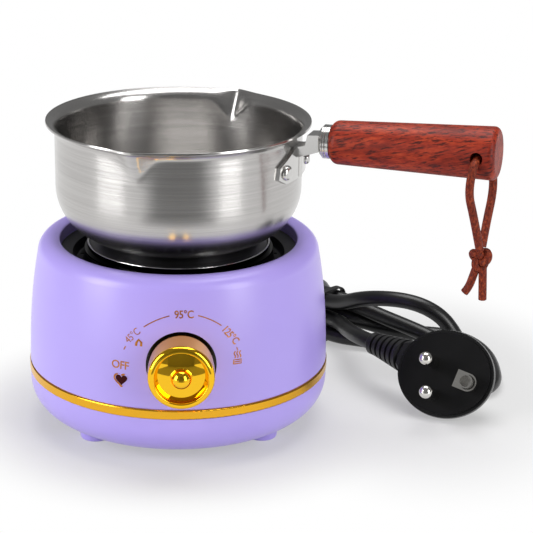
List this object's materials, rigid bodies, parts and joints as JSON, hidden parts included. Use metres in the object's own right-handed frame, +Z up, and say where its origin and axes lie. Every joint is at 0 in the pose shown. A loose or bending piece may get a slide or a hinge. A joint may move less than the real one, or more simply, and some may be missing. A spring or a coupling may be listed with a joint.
{
  "type": "electric wax melter",
  "caption": "Round electric mini stove with a thermostat knob and a wooden-handled steel pouring pot that lifts off its heating plate.",
  "frame": {"origin": "on the stove's axis, at the level its feet stand on", "axes": "+Z up, -Y towards the knob, +X to the right as seen from the knob side; the pot's handle points mainly along +X"},
  "size_m": [0.2051, 0.2335, 0.1363],
  "materials": {
    "housing_lilac": "smooth moulded",
    "band_gold": "satin gold",
    "knob_gold": "polished gold plating",
    "rubber_black": "moulded",
    "steel_screw": "plain",
    "tray_black": "black enamel",
    "trim_chrome": "bright",
    "plate_cast": "matt coating",
    "element_steel": "oxidised",
    "shield_steel": "pressed",
    "plastic_black": "moulded",
    "plug_face_grey": "moulded",
    "ceramic_white": "ceramic",
    "lens_red": "translucent red",
    "pot_steel": "polished stainless",
    "bracket_steel": "polished stainless",
    "handle_wood": "oiled reddish wood",
    "cord_black": "smooth sheath",
    "tie_black": "soft tie",
    "plug_brass": "nickel-plated pins",
    "lanyard_brown": "waxed cord"
  },
  "bodies": {
    "stove": {"upper_shell": "housing_lilac", "bottom_cover": "housing_lilac", "foot_pads": "housing_lilac", "trim_band": "band_gold", "lead_gland": "rubber_black", "plug_relief": "rubber_black", "cover_screws": "steel_screw", "thermostat_screws": "steel_screw", "terminal_screws": "steel_screw", "clamp_screws": "steel_screw", "plate_stud": "steel_screw", "shield_nut": "steel_screw", "thermostat_bracket": "steel_screw", "fuse_clip": "steel_screw", "drip_tray": "tray_black", "plate_trim_ring": "trim_chrome", "heating_plate": "plate_cast", "heating_element": "element_steel", "heat_shield": "shield_steel", "knob_escutcheon": "plastic_black", "thermostat_body": "plastic_black", "cord_clamp": "plastic_black", "plug_body": "plastic_black", "plug_face": "plug_face_grey", "terminal_block": "ceramic_white", "thermal_fuse": "ceramic_white", "lamp_holder": "ceramic_white", "indicator_lens": "lens_red", "indicator_lamp": "lens_red", "inner_lead": "cord_black", "lead_tail": "cord_black", "lead_hank": "cord_black", "lead_plug_run": "cord_black", "hank_tie": "tie_black", "plug_pins": "plug_brass", "plug_earth_pin": "plug_brass"},
    "knob": {"knob_skirt": "knob_gold", "knob_cap": "knob_gold", "thermostat_shaft": "steel_screw"},
    "pot": {"pot_bowl": "pot_steel", "handle_bracket": "bracket_steel", "bracket_rivets": "bracket_steel", "handle_ferrule": "bracket_steel", "handle_tang": "steel_screw", "handle_grip": "handle_wood"},
    "lanyard": {"lanyard_front": "lanyard_brown", "lanyard_rear": "lanyard_brown", "lanyard_knot": "lanyard_brown"}
  },
  "joints": [
    {"name": "knob_turn", "type": "hinge", "parent": "stove", "child": "knob", "pos_m": [0.0009, -0.061, 0.0444], "axis": [0, 1, 0], "range_deg": [0, 190]},
    {"name": "pot_lift", "type": "slide", "parent": "stove", "child": "pot", "axis": [0, 0, 1], "range_m": [0, 0.06]},
    {"name": "lanyard_swing", "type": "hinge", "parent": "pot", "child": "lanyard", "pos_m": [0.1159, -0.04449, 0.12562], "axis": [0.3584, 0.9336, 0], "range_deg": [-40, 40]}
  ]
}
